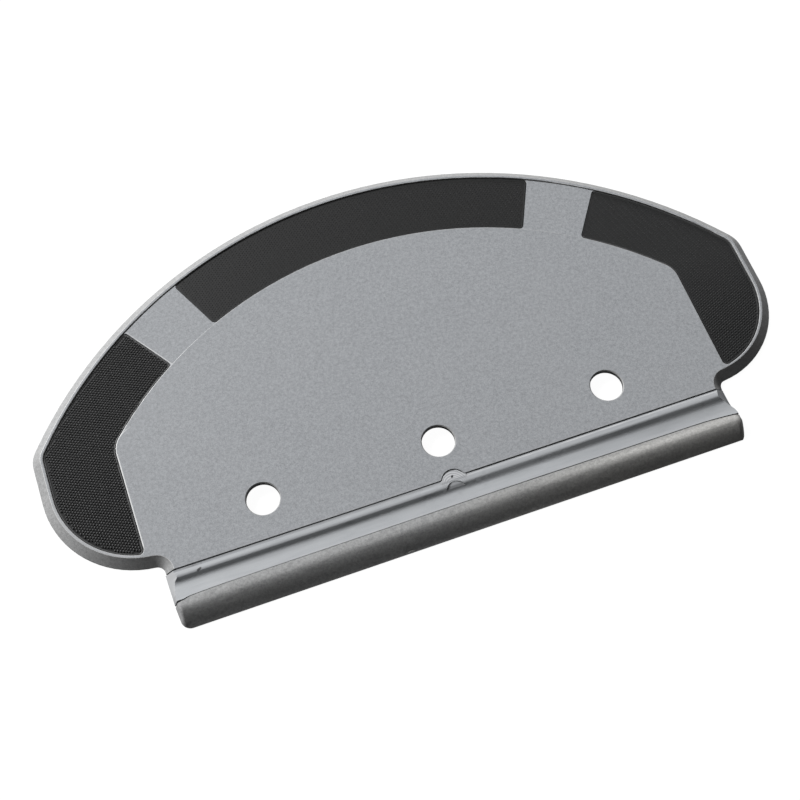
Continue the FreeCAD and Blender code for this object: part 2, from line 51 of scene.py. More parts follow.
# ---------------------------------------------------------------------------------------------------- camera
def make_camera():
    cam = bpy.data.cameras.new("camera")
    cam.sensor_fit = "HORIZONTAL"
    cam.sensor_width = 36.0
    cam.lens = 36.0 * 1294.4 / 800.0
    cam.clip_start, cam.clip_end = 0.01, 20.0
    ob = bpy.data.objects.new("camera", cam)
    bpy.context.scene.collection.objects.link(ob)
    right = Vector((0.9412476, -0.3377009, 0.0033205))
    up = Vector((0.3043202, 0.8523893, 0.4252314))
    back = Vector((-0.1464314, -0.3992376, 0.9050786))
    rot = Matrix((right, up, back)).transposed()
    ob.matrix_world = Matrix.Translation(Vector((-0.076992, -0.208493, 0.431389))) @ rot.to_4x4()
    bpy.context.scene.camera = ob
    return ob


make_camera()


# ---------------------------------------------------------------------------------------------------- nodes
class Tree:
    """small helper that writes a material's node tree"""

    def __init__(self, mat):
        mat.use_nodes = True
        self.t = mat.node_tree
        self.t.nodes.clear()
        self.x = -1600

    def node(self, kind, **values):
        n = self.t.nodes.new(kind)
        self.x += 40
        n.location = (self.x, -self.x * 0.3 % 400)
        for k, v in values.items():
            if hasattr(n, k):
                setattr(n, k, v)
            else:
                n.inputs[k.replace("_", " ")].default_value = v
        return n

    def link(self, a, b):
        self.t.links.new(a, b)

    def coords(self):
        return self.node("ShaderNodeTexCoord").outputs["Object"]

    def noise(self, vec, scale, detail=2.0, rough=0.5, distortion=0.0):
        n = self.node("ShaderNodeTexNoise")
        n.inputs["Scale"].default_value = scale
        n.inputs["Detail"].default_value = detail
        n.inputs["Roughness"].default_value = rough
        n.inputs["Distortion"].default_value = distortion
        self.link(vec, n.inputs["Vector"])
        return n.outputs["Fac"]

    def voronoi(self, vec, scale, feature="F1"):
        n = self.node("ShaderNodeTexVoronoi")
        n.feature = feature
        n.inputs["Scale"].default_value = scale
        self.link(vec, n.inputs["Vector"])
        return n

    def math(self, op, a, b=None, c=None, clamp=False):
        n = self.node("ShaderNodeMath")
        n.operation = op
        n.use_clamp = clamp
        for i, v in enumerate((a, b, c)):
            if v is None:
                continue
            if isinstance(v, (int, float)):
                n.inputs[i].default_value = v
            else:
                self.link(v, n.inputs[i])
        return n.outputs[0]

    def map(self, v, a, b, c, d):
        n = self.node("ShaderNodeMapRange")
        for i, k in enumerate((a, b, c, d)):
            n.inputs[i + 1].default_value = k
        self.link(v, n.inputs[0])
        return n.outputs[0]

    def mix(self, fac, a, b):
        n = self.node("ShaderNodeMix")
        n.data_type = "RGBA"
        if isinstance(fac, (int, float)):
            n.inputs[0].default_value = fac
        else:
            self.link(fac, n.inputs[0])
        for i, v in ((6, a), (7, b)):
            if isinstance(v, tuple):
                n.inputs[i].default_value = v if len(v) == 4 else (*v, 1.0)
            else:
                self.link(v, n.inputs[i])
        return n.outputs[2]

    def bump(self, height, strength, distance, normal=None):
        n = self.node("ShaderNodeBump")
        n.inputs["Strength"].default_value = strength
        n.inputs["Distance"].default_value = distance
        self.link(height, n.inputs["Height"])
        if normal is not None:
            self.link(normal, n.inputs["Normal"])
        return n.outputs["Normal"]

    def scaled(self, vec, sx, sy, sz):
        n = self.node("ShaderNodeMapping")
        n.inputs["Scale"].default_value = (sx, sy, sz)
        self.link(vec, n.inputs["Vector"])
        return n.outputs["Vector"]

    def up(self, axis=2):
        """height (or other) component of the surface's own direction"""
        s = self.node("ShaderNodeSeparateXYZ")
        self.link(self.node("ShaderNodeNewGeometry").outputs["Normal"], s.inputs[0])
        return s.outputs[axis]

    def along(self, vec, axis):
        s = self.node("ShaderNodeSeparateXYZ")
        self.link(vec, s.inputs[0])
        return s.outputs[axis]

    def tint(self, color, fac, rgb):
        """color times 1, and times rgb where fac is 0"""
        k = self.mix(fac, rgb, (1.0, 1.0, 1.0))
        n = self.node("ShaderNodeMix")
        n.data_type = "RGBA"
        n.blend_type = "MULTIPLY"
        n.inputs[0].default_value = 1.0
        self.link(color, n.inputs[6])
        self.link(k, n.inputs[7])
        return n.outputs[2]

    def finish(self, **inputs):
        p = self.node("ShaderNodeBsdfPrincipled")
        out = self.node("ShaderNodeOutputMaterial")
        for k, v in inputs.items():
            s = p.inputs[k.replace("_", " ")]
            if isinstance(v, (int, float)):
                s.default_value = v
            elif isinstance(v, tuple):
                s.default_value = v if len(v) == 4 else (*v, 1.0)
            else:
                self.link(v, s)
        self.link(p.outputs[0], out.inputs[0])
        return p


def spot(t, vec, x, y, r, soft):
    """1 inside a small round mark at construction-frame (x, y) mm, 0 outside"""
    p = t.node("ShaderNodeVectorMath")
    p.operation = "DISTANCE"
    flat = t.scaled(vec, 1.0, 1.0, 0.0)
    t.link(flat, p.inputs[0])
    p.inputs[1].default_value = ((x + SHIFT[0]) / 1000, (y + SHIFT[1]) / 1000, 0.0)
    return t.map(p.outputs["Value"], (r - soft) / 1000, (r + soft) / 1000, 1.0, 0.0)


def plate_material():
    """grained grey moulding with pale flecks, and a painted sparkle where they catch the light"""
    m = bpy.data.materials.new("grained_grey_plastic")
    t = Tree(m)
    co = t.coords()
    fine = t.noise(co, 2200.0, 3.0, 0.6)
    mid = t.noise(co, 900.0, 2.0, 0.55)
    slow = t.noise(co, 28.0, 3.0, 0.5)
    cells = t.voronoi(co, 1900.0)
    fleck = t.map(cells.outputs["Color"], 0.0, 1.0, 0.0, 1.0)
    flecks = t.map(t.math("MULTIPLY", fleck, t.map(cells.outputs["Distance"], 0.10, 0.42, 1.0, 0.0)), 0.62, 0.86, 0.0, 1.0)
    grain = t.math("ADD", t.math("MULTIPLY", fine, 0.6), t.math("MULTIPLY", mid, 0.4))
    tone = t.mix(t.map(grain, 0.36, 0.64, 0.0, 1.0), (0.226, 0.235, 0.2475), (0.351, 0.365, 0.3845))
    # painted glints: the pale flecks show more strongly on faces that turn up
    level = t.map(t.up(), 0.90, 0.985, 0.15, 0.6)
    tone = t.mix(t.math("MULTIPLY", flecks, level), tone, (0.50, 0.52, 0.54))
    tone = t.mix(t.map(slow, 0.3, 0.7, 0.0, 0.10), tone, (0.36, 0.365, 0.375))
    mark = t.math("MULTIPLY", spot(t, co, 1.4, 76.6, 0.5, 0.35), 0.35)
    tone = t.mix(mark, tone, (0.15, 0.155, 0.16))
    # the flat open faces keep a faint blue cast; the rim walls, picked by the way they face, and the nose get a painted
    # warm cast of the light
    flat = t.math("MULTIPLY", t.map(t.up(), 0.990, 0.9985, 0.0, 1.0), t.map(t.along(co, 1), (-17.0 + SHIFT[1]) / 1000, (-14.0 + SHIFT[1]) / 1000, 0.0, 1.0))
    tone = t.tint(tone, flat, (1.038, 1.006, 0.960))
    # the nose is a touch warmer towards its right end, a painted warm cast of its highlight there
    warm = t.math("MULTIPLY", t.map(t.along(co, 1), (-26.5 + SHIFT[1]) / 1000, (-25.0 + SHIFT[1]) / 1000, 1.0, 0.0), t.map(t.along(co, 0), -0.02, 0.06, 0.0, 1.0))
    tone = t.tint(tone, t.math("SUBTRACT", 1.0, warm), (1.03, 1.012, 0.975))
    # and its grain is coarser
    near = t.math("MULTIPLY", t.map(t.along(co, 1), (-13.0 + SHIFT[1]) / 1000, (14.0 + SHIFT[1]) / 1000, 0.55, 0.0), t.map(t.along(co, 0), -0.09, 0.08, 0.55, 1.0))
    near = t.math("MAXIMUM", near, t.map(t.along(co, 1), (-26.0 + SHIFT[1]) / 1000, (-24.5 + SHIFT[1]) / 1000, 1.0, 0.0))
    coarse = t.math("MULTIPLY", t.map(t.noise(co, 1150.0, 2.0, 0.6), 0.36, 0.64, -1.0, 1.0), near)
    tone = t.mix(t.math("MULTIPLY", t.map(coarse, 0.0, 1.0, 0.0, 1.0), 0.20), tone, (0.46, 0.465, 0.465))
    tone = t.mix(t.math("MULTIPLY", t.map(coarse, 0.0, -1.0, 0.0, 1.0), 0.20), tone, (0.17, 0.175, 0.18))
    # painted highlight: the small roundings round ring and rim are painted paler, most where they face left and back
    # towards the lamp, and they are smoother
    edge_highlight = t.math("MULTIPLY", t.map(t.up(), 0.74, 0.82, 0.0, 1.0), t.map(t.up(), 0.95, 0.985, 1.0, 0.0))
    edge_highlight = t.math("MULTIPLY", edge_highlight, t.map(t.along(co, 1), (-14.6 + SHIFT[1]) / 1000, (-14.3 + SHIFT[1]) / 1000, 0.0, 1.0))
    left = t.map(t.up(0), -0.15, 0.25, 1.0, 0.25)
    back = t.map(t.up(1), 0.25, 0.45, 1.0, 0.45)
    edge_highlight = t.math("MULTIPLY", edge_highlight, t.math("MULTIPLY", left, back))
    tone = t.mix(t.math("MULTIPLY", edge_highlight, 0.75), tone, (0.62, 0.625, 0.63))
    # painted highlight on the roundings that face the light: along the field's left edge, round the corner above it,
    # along the field's arc above the left pad and at the left pad's end on the bridge
    side = t.math("MULTIPLY", t.map(t.math("ABSOLUTE", t.math("SUBTRACT", t.along(co, 0), (-110.22 + SHIFT[0]) / 1000)), 0.00018, 0.00034, 1.0, 0.0), t.map(t.along(co, 1), (33.6 + SHIFT[1]) / 1000, (33.8 + SHIFT[1]) / 1000, 1.0, 0.0))
    side = t.math("MULTIPLY", side, t.map(t.along(co, 1), (-4.2 + SHIFT[1]) / 1000, (-2.6 + SHIFT[1]) / 1000, 0.0, 1.0))
    field_edge_highlight = t.math("MULTIPLY", spot(t, co, -101.4, 33.7, 9.05, 0.08), t.math("SUBTRACT", 1.0, spot(t, co, -101.4, 33.7, 8.66, 0.08)))
    field_edge_highlight = t.math("MULTIPLY", field_edge_highlight, t.map(t.along(co, 1), (33.6 + SHIFT[1]) / 1000, (33.8 + SHIFT[1]) / 1000, 0.0, 1.0))
    field_edge_highlight = t.math("MULTIPLY", field_edge_highlight, t.map(t.along(co, 0), (-107.0 + SHIFT[0]) / 1000, (-102.5 + SHIFT[0]) / 1000, 1.0, 0.0))
    arc = t.math("MULTIPLY", spot(t, co, 0.0, -59.9, 147.05, 0.08), t.math("SUBTRACT", 1.0, spot(t, co, 0.0, -59.9, 146.72, 0.08)))
    arc = t.math("MULTIPLY", arc, t.math("MULTIPLY", t.map(t.along(co, 0), (-107.5 + SHIFT[0]) / 1000, (-106.5 + SHIFT[0]) / 1000, 0.0, 1.0), t.map(t.along(co, 0), (-100.0 + SHIFT[0]) / 1000, (-70.0 + SHIFT[0]) / 1000, 0.8, 0.0)))
    field_edge_highlight = t.math("MAXIMUM", field_edge_highlight, arc)
    end = math.radians(124.5)
    d = t.math("SUBTRACT", t.math("MULTIPLY", t.along(co, 1), math.cos(end)), t.math("MULTIPLY", t.along(co, 0), math.sin(end)))
    d = t.math("SUBTRACT", d, ((-57.4 + SHIFT[1]) * math.cos(end) - SHIFT[0] * math.sin(end)) / 1000)
    stop = t.math("MULTIPLY", t.map(t.math("ABSOLUTE", t.math("ADD", d, 0.00015)), 0.00016, 0.00030, 1.0, 0.0), t.map(t.along(co, 0), -0.1, -0.09, 0.0, 1.0))
    stop = t.math("MULTIPLY", stop, t.map(t.math("ABSOLUTE", t.math("SUBTRACT", t.along(co, 2), (-0.25 + SHIFT[2]) / 1000)), 0.00004, 0.00010, 1.0, 0.0))
    stop = t.math("MULTIPLY", stop, t.map(t.along(co, 0), -0.078, -0.070, 1.0, 0.0))
    field_edge_highlight = t.math("MAXIMUM", field_edge_highlight, t.math("MULTIPLY", stop, 0.7))
    field_edge_highlight = t.math("MULTIPLY", t.math("MAXIMUM", side, field_edge_highlight), t.map(t.up(), 0.5, 0.7, 0.0, 1.0))
    tone = t.mix(t.math("MULTIPLY", field_edge_highlight, 0.9), tone, (0.66, 0.665, 0.665))
    # painted highlight, a little, on the narrow land round the left lobe
    lobe = t.math("MULTIPLY", spot(t, co, -104.4, 24.8, 32.2, 0.1), t.math("SUBTRACT", 1.0, spot(t, co, -104.4, 24.8, 31.2, 0.1)))
    lobe = t.math("MULTIPLY", lobe, t.map(t.along(co, 1), (18.0 + SHIFT[1]) / 1000, (26.0 + SHIFT[1]) / 1000, 1.0, 0.0))
    lobe = t.math("MULTIPLY", lobe, t.math("MULTIPLY", t.map(t.along(co, 0), -0.115, -0.110, 1.0, 0.0), t.map(t.up(), 0.90, 0.97, 0.0, 1.0)))
    tone = t.mix(t.math("MULTIPLY", lobe, 0.28), tone, (0.52, 0.525, 0.53))
    # stress-whitened dent in the lower edge of the nose
    dent = t.math("MULTIPLY", spot(t, co, -23.3, -35.0, 2.6, 0.6), t.map(t.math("ABSOLUTE", t.math("SUBTRACT", t.along(co, 2), (-3.0 + SHIFT[2]) / 1000)), 0.00003, 0.00012, 1.0, 0.0))
    dent = t.math("MULTIPLY", dent, t.map(t.up(), 0.90, 0.98, 0.0, 1.0))
    tone = t.mix(t.math("MULTIPLY", dent, 0.9), tone, (0.80, 0.80, 0.78))
    # painted shade: the bores of the holes are darkened as they lie in the dark
    for i in (-1, 0, 1):
        bore = t.math("MULTIPLY", spot(t, co, 66.0 * i, 0.0, 6.3, 0.05), t.map(t.up(), 0.1, 0.4, 1.0, 0.0))
        tone = t.mix(t.math("MULTIPLY", bore, 0.75), tone, (0.03, 0.03, 0.032))
    # painted light on the steep walls round the round tab, so the shaded groove there reads less dark
    wall = t.math("MULTIPLY", spot(t, co, -0.05, -16.45, 5.0, 0.1), t.map(t.up(), 0.3, 0.7, 1.0, 0.0))
    tone = t.mix(t.math("MULTIPLY", wall, 0.85), tone, (0.80, 0.81, 0.82))
    # painted shade in the narrow slit between plate and strip at the left neck
    slit = t.math("MULTIPLY", t.map(t.along(co, 0), (-102.7 + SHIFT[0]) / 1000, (-102.3 + SHIFT[0]) / 1000, 1.0, 0.0), t.map(t.up(1), -0.9, -0.8, 1.0, 0.0))
    slit = t.math("MULTIPLY", slit, t.map(t.along(co, 1), (-14.9 + SHIFT[1]) / 1000, (-14.8 + SHIFT[1]) / 1000, 0.0, 1.0))
    tone = t.mix(t.math("MULTIPLY", slit, t.map(t.along(co, 1), (-14.1 + SHIFT[1]) / 1000, (-14.0 + SHIFT[1]) / 1000, 1.0, 0.0)), tone, (0.01, 0.01, 0.011))
    rough = t.math("SUBTRACT", t.map(grain, 0.3, 0.7, 0.50, 0.66), t.math("MULTIPLY", edge_highlight, 0.22))
    n = t.bump(grain, 0.55, 0.00007)
    t.finish(Base_Color=tone, Roughness=rough, Normal=n, Specular_IOR_Level=0.42)
    return m


def strip_material():
    """smooth satin soft moulding"""
    m = bpy.data.materials.new("satin_soft_plastic")
    t = Tree(m)
    co = t.coords()
    along = t.scaled(co, 0.12, 1.0, 1.0)
    streak = t.noise(along, 700.0, 3.0, 0.6)
    fine = t.noise(co, 2600.0, 2.0, 0.5)
    slow = t.noise(co, 40.0, 2.0, 0.5)
    tone = t.mix(t.map(streak, 0.3, 0.7, 0.0, 1.0), (0.270, 0.281, 0.294), (0.300, 0.311, 0.324))
    tone = t.mix(t.map(fine, 0.3, 0.7, 0.0, 0.35), tone, (0.325, 0.335, 0.345))
    tone = t.mix(t.map(slow, 0.35, 0.65, 0.0, 0.12), tone, (0.245, 0.255, 0.27))
    # faint turned rings on the round tab, bumped and also painted as pale and dark bands that stand for their
    # highlights, the tab painted paler towards the seam as a painted highlight, a dark speck on the ridge and a dark
    # streak at the left end
    d = t.node("ShaderNodeVectorMath")
    d.operation = "DISTANCE"
    t.link(t.scaled(co, 1.3, 1.0, 0.0), d.inputs[0])
    d.inputs[1].default_value = (1.3 * (-0.5 + SHIFT[0]) / 1000, (-18.5 + SHIFT[1]) / 1000, 0.0)
    dist = d.outputs["Value"]
    wave = t.math("SINE", t.math("ADD", t.math("MULTIPLY", dist, 2.0 * math.pi / 0.00095), t.math("MULTIPLY", t.noise(co, 200.0, 1.0, 0.5), 8.0)))
    here = spot(t, co, -0.05, -16.5, 4.75, 0.15)
    here = t.math("MULTIPLY", here, t.map(t.along(co, 1), (-17.6 + SHIFT[1]) / 1000, (-17.1 + SHIFT[1]) / 1000, 0.0, 1.0))
    tone = t.mix(t.math("MULTIPLY", here, t.map(t.along(co, 1), (-16.2 + SHIFT[1]) / 1000, (-15.2 + SHIFT[1]) / 1000, 0.0, 0.95)), tone, (0.50, 0.51, 0.525))
    tone = t.mix(t.math("MULTIPLY", here, t.map(wave, -1.0, 1.0, 0.0, 0.7)), tone, (0.22, 0.225, 0.235))
    # painted light on the faces that turn to the left, at the strip's left end, which face the lamp
    end = t.map(t.up(0), -0.62, -0.42, 1.0, 0.0)
    tone = t.mix(t.math("MULTIPLY", end, 0.75), tone, (0.415, 0.418, 0.425))
    # painted shade on the flat floor of the shelf under the tab
    foot = t.math("MULTIPLY", t.map(t.along(co, 1), (-18.1 + SHIFT[1]) / 1000, (-17.5 + SHIFT[1]) / 1000, 1.0, 0.0), t.map(t.along(co, 1), (-19.3 + SHIFT[1]) / 1000, (-19.0 + SHIFT[1]) / 1000, 0.0, 1.0))
    foot = t.math("MULTIPLY", foot, t.map(t.math("ABSOLUTE", t.math("SUBTRACT", t.along(co, 0), (-0.45 + SHIFT[0]) / 1000)), 0.0031, 0.0034, 1.0, 0.0))
    foot = t.math("MULTIPLY", foot, t.map(t.up(), 0.97, 0.995, 0.0, 1.0))
    tone = t.mix(t.math("MULTIPLY", foot, 0.75), tone, (0.10, 0.103, 0.108))
    for x, y, r, a in ((-0.40, -14.80, 0.30, 0.95), (-0.08, -14.42, 0.30, 0.95), (-94.75, -17.65, 0.42, 0.9), (-94.3, -17.45, 0.46, 1.0), (-93.8, -17.2, 0.40, 1.0), (-93.1, -15.35, 0.22, 0.35), (-95.9, -15.3, 0.22, 0.35)):
        tone = t.mix(t.math("MULTIPLY", spot(t, co, x, y, r, 0.14), a), tone, (0.05, 0.05, 0.053))
    dark = t.math("MULTIPLY", t.map(t.along(co, 0), (-99.5 + SHIFT[0]) / 1000, (-98.0 + SHIFT[0]) / 1000, 0.0, 1.0), t.map(t.along(co, 0), (-95.0 + SHIFT[0]) / 1000, (-93.5 + SHIFT[0]) / 1000, 1.0, 0.0))
    dark = t.math("MULTIPLY", dark, t.map(t.math("ABSOLUTE", t.math("SUBTRACT", t.along(co, 1), (-15.35 + SHIFT[1]) / 1000)), 0.0001, 0.00035, 1.0, 0.0))
    tone = t.mix(t.math("MULTIPLY", dark, 0.35), tone, (0.13, 0.13, 0.14))
    # painted sheen, a highlight, along the ridge just below the seam, from about x = -80 mm rightwards, left out on the
    # tab
    sheen = t.math("MULTIPLY", t.map(t.math("ABSOLUTE", t.math("SUBTRACT", t.along(co, 1), (-15.85 + SHIFT[1]) / 1000)), 0.0001, 0.0004, 1.0, 0.0), t.map(t.along(co, 0), -0.08, -0.02, 0.0, 1.0))
    sheen = t.math("MULTIPLY", sheen, t.math("SUBTRACT", 1.0, here))
    tone = t.mix(t.math("MULTIPLY", sheen, t.map(t.noise(t.scaled(co, 0.3, 1.0, 1.0), 400.0, 2.0, 0.6), 0.35, 0.65, 0.25, 0.9)), tone, (0.42, 0.425, 0.43))
    # painted light on the shelf's steep wall under the tab, which lies in shade
    wall = t.math("MULTIPLY", spot(t, co, -0.45, -20.05, 3.8, 0.1), t.math("MULTIPLY", t.map(t.up(), 0.3, 0.7, 1.0, 0.0), t.map(t.up(0), 0.1, 0.5, 0.0, 1.0)))
    tone = t.mix(t.math("MULTIPLY", wall, 0.9), tone, (0.80, 0.81, 0.82))
    # painted shade in the narrow slit between strip and plate at the left neck
    slit = t.math("MULTIPLY", t.map(t.along(co, 0), (-102.9 + SHIFT[0]) / 1000, (-102.5 + SHIFT[0]) / 1000, 1.0, 0.0), t.map(t.along(co, 1), (-14.95 + SHIFT[1]) / 1000, (-14.85 + SHIFT[1]) / 1000, 0.0, 1.0))
    tone = t.mix(slit, tone, (0.01, 0.01, 0.011))
    rough = t.map(streak, 0.3, 0.7, 0.36, 0.46)
    n = t.bump(fine, 0.25, 0.00003)
    n = t.bump(t.math("MULTIPLY", here, wave), 0.6, 0.000008, n)
    t.finish(Base_Color=tone, Roughness=rough, Normal=n, Specular_IOR_Level=0.5)
    return m


def hook_material(name, k, level, k_up=None):
    """black moulded nylon of the hooks, its tone scaled by k, painted paler as a highlight where k is large; k_up is
    the value of k at the pad's upper part, painted light and shade across the pad
    """
    m = bpy.data.materials.new(name)
    t = Tree(m)
    co = t.coords()
    fine = t.noise(co, 1500.0, 2.0, 0.5)
    tone = t.mix(t.map(fine, 0.3, 0.7, 0.0, 1.0), (0.016 * k, 0.0163 * k, 0.0166 * k), (0.026 * k, 0.0263 * k, 0.0266 * k))
    if k_up:
        g = k_up / k
        tone = t.tint(tone, t.map(t.along(co, 1), -0.030, 0.010, 1.0, 0.0), (g, g, g))
    rough = t.map(fine, 0.3, 0.7, 0.46, 0.60)
    t.finish(Base_Color=tone, Roughness=rough, Specular_IOR_Level=level)
    return m


def web_material(name, k, k_up=None, level=0.3):
    """black backing of the hook tape, its tone scaled by k and by k_up at the pad's upper part, painted lighter or
    darker for the light
    """
    m = bpy.data.materials.new(name)
    t = Tree(m)
    co = t.coords()
    fine = t.noise(co, 3000.0, 2.0, 0.5)
    tone = t.mix(t.map(fine, 0.3, 0.7, 0.0, 1.0), (0.011 * k, 0.0112 * k, 0.0114 * k), (0.018 * k, 0.0182 * k, 0.0185 * k))
    if k_up:
        g = k_up / k
        tone = t.tint(tone, t.map(t.along(co, 1), -0.030, 0.010, 1.0, 0.0), (g, g, g))
    rough = t.map(fine, 0.3, 0.7, 0.46, 0.60)
    n = t.bump(fine, 0.3, 0.00003)
    t.finish(Base_Color=tone, Roughness=rough, Normal=n, Specular_IOR_Level=level)
    return m


M_PLATE = plate_material()
M_STRIP = strip_material()
# the three pads share one black nylon in tones painted lighter and darker for the light: the left pad's hooks are
# painted pale as a painted highlight so they catch the light, the borders are painted paler, and the other two pads are
# toned to look even
M_LEFT = (hook_material("black_hooks_left", 4.6, 0.7, 3.3), web_material("black_backing_left", 0.95, 1.8, 0.17), web_material("black_border_left", 2.6, 3.4, 0.4))
M_CENTRE = (hook_material("black_hooks_centre", 0.80, 0.22), web_material("black_backing_centre", 1.10), web_material("black_border_centre", 1.35))
M_RIGHT = (hook_material("black_hooks_right", 3.0, 0.2, 1.15), web_material("black_backing_right", 1.35, 1.6, 0.18), web_material("black_border_right", 1.6, 2.6, 0.25))

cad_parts["base_plate"].material_slots[0].material = M_PLATE
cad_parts["front_strip"].material_slots[0].material = M_STRIP


# ---------------------------------------------------------------------------------------------------- hook pads
def top_outline(node):
    """ordered outline (mm, row frame, counter-clockwise) of a pad's flat top"""
    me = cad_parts[node].data
    co = np.array([v.co for v in me.vertices]) * 1000.0
    key = {}
    idx = []
    for p in co:
        k = (round(p[0], 3), round(p[1], 3), round(p[2], 3))
        idx.append(key.setdefault(k, len(key)))
    pts = {}
    for i, p in zip(idx, co):
        pts[i] = p
    z1 = co[:, 2].max()
    count = {}
    for f in me.polygons:
        v = [idx[i] for i in f.vertices]
        if all(abs(pts[i][2] - z1) < 1e-3 for i in v) and f.normal.z > 0.9:
            for a, b in zip(v, v[1:] + v[:1]):
                count[(a, b)] = count.get((a, b), 0) + 1
    nxt = {a: b for (a, b) in count if (b, a) not in count}
    start = next(iter(nxt))
    loop = [start]
    while nxt[loop[-1]] != start:
        loop.append(nxt[loop[-1]])
    out = np.array([pts[i][:2] for i in loop])
    area = 0.5 * np.sum(out[:, 0] * np.roll(out[:, 1], -1) - out[:, 1] * np.roll(out[:, 0], -1))
    return out if area > 0 else out[::-1]


def resample(loop, step):
    d = np.r_[0, np.cumsum(np.hypot(*(np.roll(loop, -1, 0) - loop).T))]
    n = int(round(d[-1] / step))
    s = np.arange(n) * d[-1] / n
    closed = np.vstack([loop, loop[:1]])
    return np.c_[np.interp(s, d, closed[:, 0]), np.interp(s, d, closed[:, 1])]


def offset_in(loop, dist):
    t = np.roll(loop, -1, 0) - np.roll(loop, 1, 0)
    t /= np.hypot(t[:, 0], t[:, 1])[:, None]
    n = np.c_[-t[:, 1], t[:, 0]]
    return loop + n * dist


def inside(points, loop, inset):
    """which points lie inside the loop, at least inset from it"""
    a, b = loop, np.roll(loop, -1, 0)
    ok = np.zeros(len(points), bool)
    for i0 in range(0, len(points), 2000):
        p = points[i0:i0 + 2000][:, None, :]
        ap, ab = p - a[None], (b - a)[None]
        tt = np.clip((ap * ab).sum(-1) / np.maximum((ab ** 2).sum(-1), 1e-12), 0, 1)
        d = np.sqrt(((ap - tt[..., None] * ab) ** 2).sum(-1)).min(1)
        ya, yb = a[None, :, 1], b[None, :, 1]
        py, px = p[..., 1], p[..., 0]
        cross = (ya > py) != (yb > py)
        with np.errstate(divide="ignore", invalid="ignore"):
            xx = a[None, :, 0] + (py - ya) / (yb - ya) * (b[None, :, 0] - a[None, :, 0])
        odd = (cross & (px < xx)).sum(1) % 2 == 1
        ok[i0:i0 + 2000] = odd & (d > inset)
    return ok


def hook_template():
    """one moulded hook (mm) bending towards +u, four-sided sections from its foot to its tip"""
    sections = [  # u, w, lean in degrees, half thickness, half width
        (0.00, -0.06, 0.0, 0.21, 0.17),
        (0.00, 0.16, 0.0, 0.135, 0.14),
        (0.015, 0.30, 12.0, 0.105, 0.125),
        (0.085, 0.405, 48.0, 0.085, 0.12),
        (0.205, 0.425, 100.0, 0.065, 0.105),
        (0.275, 0.345, 150.0, 0.04, 0.07),
    ]
    v, f = [], []
    for u, w, lean, h, hv in sections:
        a = math.radians(lean)
        nu, nw = math.cos(a), -math.sin(a)
        for su, sv in ((-1, -1), (1, -1), (1, 1), (-1, 1)):
            v.append((u + su * h * nu, sv * hv, w + su * h * nw))
    for k in range(len(sections) - 1):
        a, b = 4 * k, 4 * (k + 1)
        for i in range(4):
            j = (i + 1) % 4
            f.append((a + i, a + j, b + j, b + i))
    n = 4 * (len(sections) - 1)
    f.append((n, n + 1, n + 2, n + 3))
    f.append((3, 2, 1, 0))
    return np.array(v), f


def build_mesh(name, verts_mm, faces, mats, face_mat, smooth):
    me = bpy.data.meshes.new(name)
    me.from_pydata([tuple(p / 1000.0) for p in verts_mm], [], faces)
    for m in mats:
        me.materials.append(m)
    me.polygons.foreach_set("material_index", face_mat)
    me.polygons.foreach_set("use_smooth", smooth)
    me.validate()
    me.update()
    ob = bpy.data.objects.new(name, me)
    bpy.context.scene.collection.objects.link(ob)
    return ob


